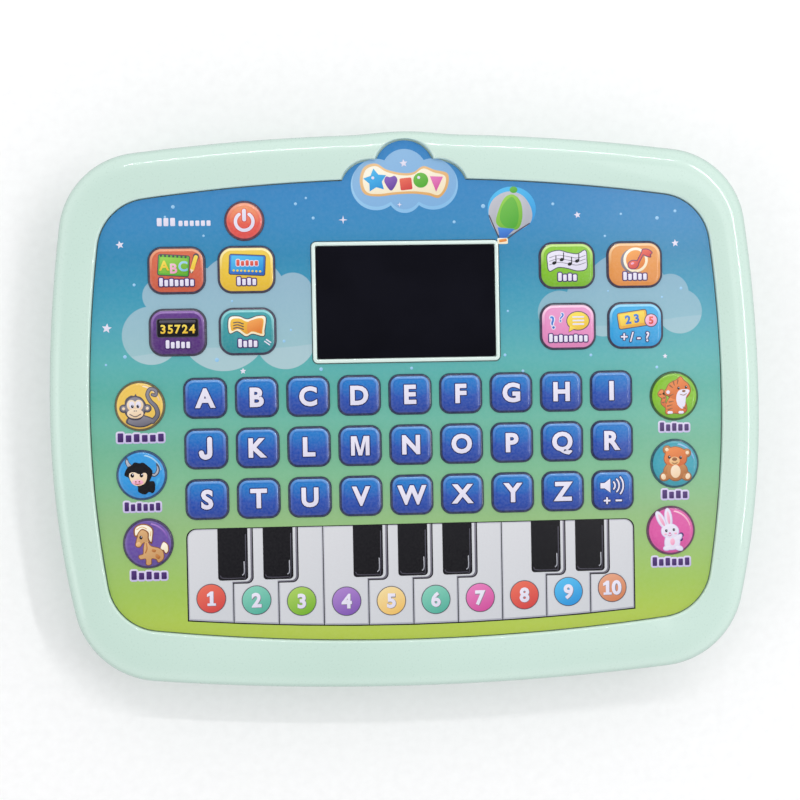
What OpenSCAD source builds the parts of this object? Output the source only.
// Toy learning tablet: a printed sheet of raised keys in a two-part moulded case, in millimetres.
// It lies on its back, so +Z points out of its face and +Y towards its top edge.
// The origin is on the back face, under the middle of the case.

/* [Case] */
// Half of the case's width, where it is widest
case_half_w = 120; // [118:0.5:126]
// Height of the case's top edge above the origin, without the small peak over the emblem
case_top_y = 92.7; // [91:0.1:96]
// How far the case's bottom edge lies below the origin
case_bottom_y = 93.7; // [92:0.1:97]
// Height of the peak in the top edge, over the emblem
peak_h = 1; // [0:0.1:2]
// Thickness of the case, from its back to the crown of its rim
case_t = 26; // [25:0.5:30]
// Height of the joint between the two shells
split_z = 12.5; // [12:0.1:13.5]
// Wall of both shells
wall = 2.1; // [1.6:0.1:2.4]

/* [Key sheet] */
// Height of the printed sheet's face
sheet_z = 24; // [23.6:0.1:24.4]
// Thickness of the printed sheet
sheet_t = 0.4; // [0.3:0.1:0.5]
// Thickness of the membrane switch under it
membrane_t = 0.5; // [0.3:0.1:0.6]
// How far a key goes down when it is pressed
key_travel = 0.5; // [0.3:0.1:0.5]
// How far a key stands above the sheet
key_rise = 0.9; // [0.6:0.1:1.2]
// Gap around a key in the sheet's opening
key_gap = 0.3; // [0.2:0.05:0.35]

/* [Keys] */
// Width of a letter key
letter_w = 14; // [12:0.1:14.4]
// Height of a letter key
letter_h = 13.1; // [11:0.1:13.8]
// Distance between letter keys along a row
letter_pitch_x = 17.1; // [16.9:0.1:17.4]
// Distance between rows of letter keys
letter_pitch_y = 16.9; // [16:0.1:17.2]
// Width of a mode key
mode_w = 18.6; // [16:0.1:19]
// Height of a mode key
mode_h = 15.3; // [13:0.1:15.6]
// Radius of the power key
power_r = 6.4; // [5:0.1:6.6]
// Radius of an animal key
animal_r = 8.1; // [7:0.1:8.6]

/* [Display] */
// Width of the raised rim round the display
display_w = 62.9; // [60:0.1:64]
// Height of the raised rim round the display
display_h = 40.5; // [38:0.1:41]
// Width of that rim's own edge
display_edge = 1.3; // [1:0.1:1.6]

/* [Batteries] */
// Diameter of a cell
cell_d = 14.2; // [13.8:0.1:14.3]
// Length of a cell, with its nub
cell_len = 50.2; // [49:0.1:50.4]
// How far the battery door swings open, in degrees, drawn shut at 0
door_open = 0; // [0:5:75]

/* [Hidden] */
LETTERS = "abcdefghijklmnopqrstuvwxyz";
GRID_COLUMNS = 9;
GRID_TOP_Y = 5.1;
// Mode keys and round keys: name, x, y and colour
MODE_KEYS = [
    ["key_letters", -77, 47.7, "orangered"],
    ["key_words", -53.9, 47.7, "gold"],
    ["key_spell", -77, 27.1, "rebeccapurple"],
    ["key_read", -53.9, 27.1, "teal"],
    ["key_song", 53.9, 47.7, "yellowgreen"],
    ["key_music", 77, 47.7, "darkorange"],
    ["key_question", 53.9, 27.1, "hotpink"],
    ["key_maths", 77, 27.1, "dodgerblue"],
];
ANIMAL_KEYS = [
    ["key_monkey", -90, 2.9, "gold"],
    ["key_cattle", -89.9, -20.1, "dodgerblue"],
    ["key_horse", -88.2, -42.9, "mediumpurple"],
    ["key_tiger", 90, 2.9, "yellowgreen"],
    ["key_bear", 89.9, -20.1, "darkcyan"],
    ["key_rabbit", 88.2, -42.9, "violet"],
];
POWER_AT = [-54.3, 63.9];
DISPLAY_AT = [-0.8, 36.3];

CASE_NODES = [
    "front_shell", "rear_shell", "overlay_sheet", "spacer_sheet", "membrane_switch",
    "display_lens", "led_module", "main_board", "board_parts", "speaker_frame", "speaker_cone",
    "lead_wires", "battery_contacts", "batteries", "battery_door", "door_screw",
    "case_screws", "board_screws",
];

// An outline is a chain of arcs: half width and the height where it is widest, radii of the
// side below and above that, bottom and its radius, top and its radius, lower and upper corner
CASE_LINE = [case_half_w, -1.5, 305, 480, -case_bottom_y, 900, case_top_y, 740, 29.5, 28];
WINDOW_LINE = [case_half_w - 13.4, 1, 360, 430, 16.1 - case_bottom_y, 720, case_top_y - 15.1, 650, 18, 18];
PEAK_HALF_W = 20;

// The emblem's cloud rises out of the window into the rim: x, y and radius of each lobe
CLOUD = [[-0.6, 80.2, 10.4], [-12, 73.2, 10.6], [10.4, 73.2, 10.6]];

deck_top = sheet_z - sheet_t - 1.1 - membrane_t;
deck_t = 1.6;
membrane_top = deck_top + membrane_t;
floor_t = 2;
rim_share = wall / 13.5;

// Keys: the flange that holds each one under the sheet, and the room round that flange
flange_lip = 0.6;
flange_t = 0.4;
flange_top = sheet_z - sheet_t - 0.1;
flange_gap = 0.3;
letter_r = 3.3;
mode_r = 4.5;

// Case screws, in wells from the back
CASE_SCREWS = [[-92, 57], [92, 57], [-97, -44], [97, -44], [-38, -71], [38, -71]];
screw_r = 1.4;
screw_well_r = 3.3;
screw_seat_z = 8;
boss_meet_z = 14.4;

// Battery bay and its door
BAY_AT = [0, -39.7];
bay_w = 50;
bay_len = 59;
bay_roof_z = 17.6;
bay_wall = 2;
ledge_z = 3.6;
cell_pitch = 15.6;
cell_z = 9.9;
door_w = 53.4;
door_len = 62.6;
door_t = 1.7;
door_lift = 0.2;
door_gap = 0.3;
door_axis_y = BAY_AT.y - door_len / 2 - door_gap;
DOOR_SCREW_AT = [0, -4.2];
door_tab_r = 5.4;
tongue_w = 8;
TONGUE_X = 15.6;

// Speaker, main board and display module
SPEAKER_AT = [-66, -22];
speaker_r = 20;
BOARD_AT = [67, 2];
board_w = 46;
board_h = 62;
board_z = 12.4;
board_t = 1.6;
BOARD_HOLES = [[-19, -27], [19, -27], [-19, 27], [19, 27]];
PLUG_Y = [-12, -20];
led_board_z = 13.4;
LED_HOLES = [[-33, -17], [33, -17], [-33, 17], [33, 17]];
window_w = 56;
window_h = 33.6;
TAIL_AT = [67, 25];
tail_w = 14;

// ---- outlines and lofts ----

// Centre of a circle that two larger circles about a and b would hold against their insides
function held_centre(a, ra, b, rb, side) =
    let (d = norm(b - a), u = (b - a) / d, k = (ra * ra - rb * rb + d * d) / (2 * d))
    a + k * u + side * sqrt(ra * ra - k * k) * [-u.y, u.x];

function bearing(from, to) = atan2(to.y - from.y, to.x - from.x);

function arc(c, r, a0, a1, n) =
    [for (i = [0:n - 1]) let (a = a0 + (a1 - a0) * i / n) c + r * [cos(a), sin(a)]];

// Right half of an outline, from the bottom centre round to the top centre, moved in by inset
function half_outline(o, inset) =
    let (
        side_low = [o[0] - o[2], o[1]],
        side_up = [o[0] - o[3], o[1]],
        end_low = [0, o[4] + o[5]],
        end_up = [0, o[6] - o[7]],
        low = held_centre(side_low, o[2] - o[8], end_low, o[5] - o[8], -1),
        up = held_centre(side_up, o[3] - o[9], end_up, o[7] - o[9], 1),
        a1 = bearing(end_low, low),
        a2 = bearing(side_low, low),
        a3 = bearing(side_up, up),
        a4 = bearing(end_up, up)
    )
    concat(
        arc(end_low, o[5] - inset, -90, a1, 6),
        arc(low, o[8] - inset, a1, a2, 8),
        arc(side_low, o[2] - inset, a2, 0, 4),
        arc(side_up, o[3] - inset, 0, a3, 4),
        arc(up, o[9] - inset, a3, a4, 8),
        arc(end_up, o[7] - inset, a4, 90, 9),
        [end_up + [0, o[7] - inset]]
    );

function outline(o, inset = 0) =
    let (half = half_outline(o, inset), n = len(half))
    concat(half, [for (i = [n - 2:-1:1]) [-half[i].x, half[i].y]]);

// The case's top edge rises in a smooth peak at its middle
function peak(x) = abs(x) < PEAK_HALF_W ? peak_h * (1 + cos(180 * x / PEAK_HALF_W)) / 2 : 0;
function case_ring(inset, z) =
    [for (p = outline(CASE_LINE, inset)) [p.x, p.y + (p.y > 0 ? peak(p.x) : 0), z]];

// A ring part of the way, from 0 to 1, between the case's edge and the window's edge
function rim_ring(share, z) =
    let (a = case_ring(0, z), b = outline(WINDOW_LINE))
    [for (i = [0:len(a) - 1]) [a[i].x, a[i].y, z] * (1 - share) + [b[i].x, b[i].y, z] * share];

// Solid through a list of rings. Closed joins the last ring to the first, else both are capped
module loft(rings, closed) {
    n = len(rings[0]);
    m = len(rings);
    bands = closed ? m : m - 1;
    sides = [
        for (j = [0:bands - 1], i = [0:n - 1])
            let (k = (j + 1) % m, q = (i + 1) % n) [j * n + i, k * n + i, k * n + q, j * n + q]
    ];
    caps = closed ? [] : [[for (i = [0:n - 1]) i], [for (i = [n - 1:-1:0]) (m - 1) * n + i]];
    polyhedron(points = [for (r = rings, p = r) p], faces = concat(sides, caps), convexity = 8);
}

// Round tube of radius r along a list of points. Side is a direction that the path never takes
function tube_ring(path, i, r, n, side) =
    let (
        a = path[max(i - 1, 0)],
        b = path[min(i + 1, len(path) - 1)],
        t = (b - a) / norm(b - a),
        u = cross(side, t) / norm(cross(side, t)),
        v = cross(t, u)
    )
    [for (k = [0:n - 1]) path[i] + r * (cos(360 * k / n) * u + sin(360 * k / n) * v)];

module tube(path, r, n, side) {
    loft([for (i = [0:len(path) - 1]) tube_ring(path, i, r, n, side)], false);
}

// ---- plain shapes ----

module rounded(w, h, r) {
    square([w - 2 * r, h], center = true);
    square([w, h - 2 * r], center = true);
    for (x = [-1, 1], y = [-1, 1])
        translate([x * (w / 2 - r), y * (h / 2 - r)]) circle(r, $fn = 48);
}

module plate(w, h, r, z0, z1) {
    translate([0, 0, z0]) linear_extrude(z1 - z0) rounded(w, h, r);
}

module block(w, h, z0, z1) {
    translate([-w / 2, -h / 2, z0]) cube([w, h, z1 - z0]);
}

module post(r, z0, z1) {
    translate([0, 0, z0]) cylinder(h = z1 - z0, r = r, $fn = 48);
}

// The window's whole area, with the cloud, moved in by inset
module window_area(inset) {
    polygon(outline(WINDOW_LINE, inset));
    for (c = CLOUD) translate([c.x, c.y]) circle(c.z - inset, $fn = 96);
}

// ---- keys ----

function grid_key_name(i) = i < len(LETTERS) ? str("key_", LETTERS[i]) : "key_volume";
function grid_key_at(i) = [
    (i % GRID_COLUMNS - (GRID_COLUMNS - 1) / 2) * letter_pitch_x,
    GRID_TOP_Y - floor(i / GRID_COLUMNS) * letter_pitch_y,
];

// One raised key: a flange under the sheet, the key itself and its bevelled crown
module box_key(w, h, r) {
    plate(w + 2 * flange_lip, h + 2 * flange_lip, r + flange_lip, flange_top - flange_t, flange_top);
    plate(w, h, r, flange_top, sheet_z + 0.5 * key_rise);
    plate(w - 1.2, h - 1.2, r - 0.6, sheet_z + 0.5 * key_rise, sheet_z + key_rise);
}

module round_key(r) {
    post(r + flange_lip, flange_top - flange_t, flange_top);
    post(r, flange_top, sheet_z + 0.5 * key_rise);
    post(r - 0.6, sheet_z + 0.5 * key_rise, sheet_z + key_rise);
}

module grid_key(i) {
    color("royalblue") translate(grid_key_at(i)) box_key(letter_w, letter_h, letter_r);
}

module mode_key(k) {
    color(k[3]) translate([k[1], k[2]]) box_key(mode_w, mode_h, mode_r);
}

module animal_key(k) {
    color(k[3]) translate([k[1], k[2]]) round_key(animal_r);
}

module key_power() {
    color("tomato") translate(POWER_AT) round_key(power_r);
}

// Every key's outline, grown by gap, for the openings that the keys stand in
module key_openings(gap) {
    for (i = [0:len(LETTERS)])
        translate(grid_key_at(i)) rounded(letter_w + 2 * gap, letter_h + 2 * gap, letter_r + gap);
    for (k = MODE_KEYS)
        translate([k[1], k[2]]) rounded(mode_w + 2 * gap, mode_h + 2 * gap, mode_r + gap);
    for (k = ANIMAL_KEYS) translate([k[1], k[2]]) circle(animal_r + gap, $fn = 96);
    translate(POWER_AT) circle(power_r + gap, $fn = 96);
}

// ---- face of the tablet ----

// Pads that carry the sheet's cloud beyond the window
module cloud_seat() {
    difference() {
        for (c = CLOUD) translate([c.x, c.y]) post(c.z + 1, deck_top - deck_t, sheet_z - sheet_t);
        translate([0, 0, deck_top]) linear_extrude(case_t) polygon(outline(WINDOW_LINE, 0));
    }
}

module front_shell() {
    inner = 1 - 0.14;
    color("#cfe9df") difference() {
        union() {
            loft([
                rim_ring(0.02, split_z),
                rim_ring(0, split_z + 3),
                rim_ring(0, case_t - 5),
                rim_ring(0.03, case_t - 3),
                rim_ring(0.11, case_t - 1.3),
                rim_ring(0.25, case_t - 0.4),
                rim_ring(0.5, case_t),
                rim_ring(0.8, case_t - 0.3),
                rim_ring(0.97, case_t - 0.8),
                rim_ring(1, case_t - 1.4),
                rim_ring(1, deck_top - deck_t - 0.4),
                rim_ring(inner, deck_top - deck_t - 0.4),
                rim_ring(inner - 0.06, case_t - 2.6),
                rim_ring(0.4, case_t - 2.4),
                rim_ring(0.22, case_t - 3.4),
                rim_ring(rim_share, case_t - 5),
                rim_ring(rim_share, split_z),
            ], true);
            translate([0, 0, deck_top - deck_t]) linear_extrude(deck_t) polygon(outline(WINDOW_LINE, -1));
            translate(DISPLAY_AT) plate(display_w, display_h, 1.6, deck_top - deck_t, sheet_z + 0.9);
            for (p = CASE_SCREWS) translate(p) post(3.6, boss_meet_z + 0.1, deck_top - 0.5);
            for (p = LED_HOLES) translate(DISPLAY_AT + p) post(2.6, led_board_z + 1.2, deck_top - 0.5);
            cloud_seat();
        }
        // seat for the sheet's cloud, let into the rim
        for (c = CLOUD) translate([c.x, c.y]) post(c.z + 0.2, sheet_z - sheet_t, case_t + 1);
        translate(DISPLAY_AT) {
            plate(display_w - 2 * display_edge, display_h - 2 * display_edge, 1, sheet_z - 0.8, case_t);
            block(window_w, window_h, 0, case_t);
        }
        translate(TAIL_AT) block(tail_w + 2, 2, 0, case_t);
        for (p = CASE_SCREWS) translate(p) post(screw_r + 0.05, 0, deck_top - 1);
        for (p = LED_HOLES) translate(DISPLAY_AT + p) post(1.05, 0, deck_top - 1);
    }
}

module overlay_sheet() {
    color("#5aa8a8") translate([0, 0, sheet_z - sheet_t]) linear_extrude(sheet_t) difference() {
        window_area(0.3);
        key_openings(key_gap);
        translate(DISPLAY_AT) rounded(display_w + 0.6, display_h + 0.6, 1.9);
    }
}

module spacer_sheet() {
    color("white") translate([0, 0, membrane_top]) linear_extrude(sheet_z - sheet_t - membrane_top)
        difference() {
            polygon(outline(WINDOW_LINE, 0.6));
            key_openings(flange_lip + flange_gap);
            translate(DISPLAY_AT) rounded(display_w + 0.8, display_h + 0.8, 2);
        }
}

// Printed circuit sheet, with a tail that drops through the deck to the main board
module membrane_switch() {
    color("gainsboro") {
        translate([0, 0, deck_top]) linear_extrude(membrane_t) difference() {
            polygon(outline(WINDOW_LINE, 0.6));
            translate(DISPLAY_AT) rounded(display_w + 0.8, display_h + 0.8, 2);
        }
        translate(TAIL_AT) block(tail_w, 0.3, board_z + board_t + 2.2, deck_top);
    }
}

module display_lens() {
    gap = 0.15;
    color("#16161c") translate(DISPLAY_AT)
        plate(display_w - 2 * (display_edge + gap), display_h - 2 * (display_edge + gap), 0.9,
            sheet_z - 0.8, sheet_z + 0.4);
}

// Matrix of light-emitting diodes on its own board, screwed up against the deck
module led_module() {
    color("darkslategray") translate(DISPLAY_AT) difference() {
        union() {
            plate(72, 40, 2, led_board_z, led_board_z + 1.2);
            block(window_w - 1, window_h - 1, led_board_z + 1.2, sheet_z - 1);
        }
        for (p = LED_HOLES) translate(p) post(1.5, 0, led_board_z + 2);
    }
}

// ---- inside the rear shell ----

module main_board() {
    color("seagreen") translate(BOARD_AT) difference() {
        plate(board_w, board_h, 2, board_z, board_z + board_t);
        for (p = BOARD_HOLES) translate(p) post(1.5, 0, case_t);
    }
}

// Sealed chip, crystal, capacitors, tail socket and wire plugs
module board_parts() {
    top = board_z + board_t;
    color("#222222") {
        translate(BOARD_AT + [0, -4]) post(9, top, top + 1.4);
        translate(TAIL_AT) difference() {
            block(tail_w + 4, 4, top, top + 3);
            block(tail_w + 0.6, 0.8, top + 1.5, top + 4);
        }
        for (y = PLUG_Y) translate([BOARD_AT.x - 15, y]) block(7.5, 5, top, top + 4);
        translate(BOARD_AT + [13, -18]) post(2.5, top, top + 5.5);
        translate(BOARD_AT + [13, -10]) post(2.5, top, top + 5.5);
        translate(BOARD_AT + [13, 4]) block(8, 3, top, top + 3);
    }
}

module speaker_frame() {
    color("silver") translate(SPEAKER_AT) difference() {
        union() {
            post(speaker_r - 0.3, floor_t + 0.1, floor_t + 2.4);
            translate([0, 0, floor_t + 2.4]) cylinder(h = 3, r1 = 17, r2 = 11, $fn = 64);
            post(9, floor_t + 5.4, floor_t + 9);
        }
        post(18, floor_t, floor_t + 1);
        translate([0, 0, floor_t + 0.9]) cylinder(h = 3.5, r1 = 17.6, r2 = 8, $fn = 64);
    }
}

module speaker_cone() {
    color("#2a2a2a") translate([SPEAKER_AT.x, SPEAKER_AT.y, floor_t]) rotate_extrude($fn = 64)
        polygon([[0, 2.9], [4.5, 2.5], [16, 0.4], [17.8, 0.4], [17.8, 0.8], [16.2, 0.8], [4.8, 3.1], [0, 3.5]]);
}

// Smooth lead from a to d, leaving a towards b and reaching d from c
function lead(a, b, c, d) = [
    for (i = [0:16])
        let (s = i / 16, q = 1 - s) q * q * q * a + 3 * q * q * s * b + 3 * q * s * s * c + s * s * s * d
];

// A pair of leads from the speaker round the battery bay, and a pair from the bay's contacts
module lead_wires() {
    plug = [BOARD_AT.x - 19, 16];
    magnet_z = floor_t + 5.5;
    bay_x = bay_w / 2 + bay_wall;
    color("firebrick") for (k = [-1, 1]) {
        tube(lead([SPEAKER_AT.x + 10, SPEAKER_AT.y + 2.4 * k, magnet_z + 0.5], [-52, 4 + 2.4 * k, 20],
            [20, 2 + 2 * k, 16.5], [plug.x, PLUG_Y[0] + 1.2 * k, plug.y]), 0.6, 8, [1, 1, 4]);
        tube(lead([bay_x + 0.1, 3 * k - 36, 14], [bay_x + 9, 3 * k - 36, 14],
            [bay_x + 13, PLUG_Y[1] + 1.2 * k, 16], [plug.x, PLUG_Y[1] + 1.2 * k, plug.y]), 0.6, 8, [0, 0, 1]);
    }
}

// Spring of wire round the Y axis, from y0 to y1
function coil(x, z, y0, y1, r) = [
    for (i = [0:44])
        let (a = 360 * 3.5 * i / 44) [x + r * cos(a), y0 + (y1 - y0) * i / 44, z + r * sin(a)]
];

// Plates at both ends of the bay: a spring for each cell's flat end, a stud for its nub
module battery_contacts() {
    end = bay_len / 2;
    room = (bay_len - cell_len) / 2;
    color("lightgray") for (i = [-1:1], s = [-1, 1]) {
        y = BAY_AT.y + s * end;
        translate([i * cell_pitch, y - s * 0.25, cell_z]) cube([11, 0.5, 10], center = true);
        if ((i == 0 ? -1 : 1) * s > 0)
            translate([i * cell_pitch, y - s * (room + 0.4) / 2, cell_z])
                rotate([90, 0, 0]) cylinder(h = room - 0.4, r = 2.4, center = true, $fn = 32);
        else
            tube(coil(i * cell_pitch, cell_z, y - s * 0.95, y - s * (room - 0.5), 4), 0.4, 6, [0, 1, 0]);
    }
}

// Three cells side by side, the middle one the other way round
module batteries() {
    color("goldenrod") for (i = [-1:1]) {
        s = i == 0 ? -1 : 1;
        translate([i * cell_pitch, BAY_AT.y, cell_z]) rotate([-90 * s, 0, 0]) {
            translate([0, 0, -cell_len / 2]) cylinder(h = cell_len - 1.4, r = cell_d / 2, $fn = 64);
            translate([0, 0, cell_len / 2 - 1.5]) cylinder(h = 1.5, r = 2.7, $fn = 32);
        }
    }
}

module grille_holes() {
    pitch = 4.2;
    for (i = [-4:4], j = [-4:4]) {
        x = (i + (j % 2 == 0 ? 0 : 0.5)) * pitch;
        y = j * pitch * sin(60);
        if (norm([x, y]) < 14.5) translate(SPEAKER_AT + [x, y]) post(1.1, -1, floor_t + 1);
    }
}

module rear_shell() {
    color("#cfe9df") difference() {
        union() {
            loft([
                case_ring(10.5, 0),
                case_ring(7, 0.8),
                case_ring(4.2, 2.4),
                case_ring(2, 5),
                case_ring(0.9, 8),
                case_ring(0.4, split_z),
                case_ring(wall + 0.4, split_z),
                case_ring(wall + 0.9, 8.5),
                case_ring(wall + 2, 5.6),
                case_ring(wall + 4.4, 3.2),
                case_ring(wall + 8.8, floor_t),
            ], false);
            for (p = CASE_SCREWS) translate(p) post(4.7, floor_t / 2, boss_meet_z);
            for (p = BOARD_HOLES) translate(BOARD_AT + p) post(2.6, floor_t / 2, board_z);
            translate(DOOR_SCREW_AT) post(4, floor_t / 2, 9);
            translate(DOOR_SCREW_AT) post(door_tab_r + 2, floor_t / 2, ledge_z);
            translate(BAY_AT) block(bay_w + 12, bay_len + 12, floor_t / 2, ledge_z);
            translate(SPEAKER_AT) difference() {
                post(speaker_r + 1.6, floor_t / 2, floor_t + 3);
                post(speaker_r, floor_t / 2 - 1, floor_t + 4);
            }
            translate(BAY_AT)
                block(bay_w + 2 * bay_wall, bay_len + 2 * bay_wall, floor_t / 2, bay_roof_z + 1.4);
        }
        translate(BAY_AT) block(bay_w, bay_len, -1, bay_roof_z);
        translate(BAY_AT) block(door_w + 2 * door_gap, door_len + 2 * door_gap, -1, door_lift + door_t + 0.1);
        translate(DOOR_SCREW_AT) post(door_tab_r + door_gap, -1, door_lift + door_t + 0.1);
        translate(DOOR_SCREW_AT) post(1.65, -1, 8);
        for (x = [-1, 1]) translate([x * TONGUE_X, door_axis_y + 1]) block(tongue_w + 1.2, 9, floor_t, 5.6);
        for (p = CASE_SCREWS) translate(p) {
            post(screw_well_r, -1, screw_seat_z);
            post(screw_r + 0.3, 0, case_t);
        }
        for (p = BOARD_HOLES) translate(BOARD_AT + p) post(1.05, 5, case_t);
        grille_holes();
    }
}

// Lid with two tongues under the bay's far edge and a screw tab at its near end
module battery_door() {
    z1 = door_lift + door_t;
    color("#c6e2d8") translate([0, door_axis_y, 0]) rotate([-door_open, 0, 0])
        translate([0, -door_axis_y, 0]) difference() {
            union() {
                translate(BAY_AT) plate(door_w, door_len, 1, door_lift, z1);
                translate(DOOR_SCREW_AT) post(door_tab_r, door_lift, z1);
                for (x = [-1, 1]) translate([x * TONGUE_X, door_axis_y]) {
                    translate([0, 2]) block(tongue_w, 3, z1 - 0.5, 3.5);
                    translate([0, 0.3]) block(tongue_w, 6.4, 2.3, 3.5);
                }
                for (y = [-18, 0, 18]) translate(BAY_AT + [0, y]) block(40, 1, z1 - 0.5, 2.5);
            }
            translate(DOOR_SCREW_AT) post(1.5, -1, case_t);
            translate(DOOR_SCREW_AT) post(3, -1, door_lift + 0.9);
        }
}

// Cross-headed screw pointing up, its head's underside at the given height
module screw(r, head_r, head_t, seat_z, tip_z) {
    difference() {
        post(head_r, seat_z - head_t, seat_z);
        translate([0, 0, seat_z - head_t - 0.1]) {
            block(head_r * 1.1, 0.6, 0, head_t * 0.6);
            block(0.6, head_r * 1.1, 0, head_t * 0.6);
        }
    }
    post(r, seat_z - 0.2, tip_z - r);
    translate([0, 0, tip_z - r]) cylinder(h = r, r1 = r, r2 = r * 0.3, $fn = 32);
}

module door_screw() {
    color("silver") translate([0, door_axis_y, 0]) rotate([-door_open, 0, 0])
        translate([0, -door_axis_y, 0]) translate(DOOR_SCREW_AT) screw(1.2, 2.7, 0.8, door_lift + 0.9, 6);
}

module case_screws() {
    color("silver") for (p = CASE_SCREWS) translate(p) screw(screw_r, 2.9, 2, screw_seat_z, 20);
}

module board_screws() {
    color("silver") {
        for (p = LED_HOLES) translate(DISPLAY_AT + p) screw(1, 2, 1.2, led_board_z, 20);
        for (p = BOARD_HOLES) translate(BOARD_AT + p) mirror([0, 0, 1])
            screw(1, 2, 1.2, -board_z - board_t, -6);
    }
}

front_shell();
rear_shell();
overlay_sheet();
spacer_sheet();
membrane_switch();
display_lens();
led_module();
main_board();
board_parts();
speaker_frame();
speaker_cone();
lead_wires();
battery_contacts();
batteries();
battery_door();
door_screw();
case_screws();
board_screws();
for (i = [0:len(LETTERS)]) grid_key(i);
for (k = MODE_KEYS) mode_key(k);
for (k = ANIMAL_KEYS) animal_key(k);
key_power();
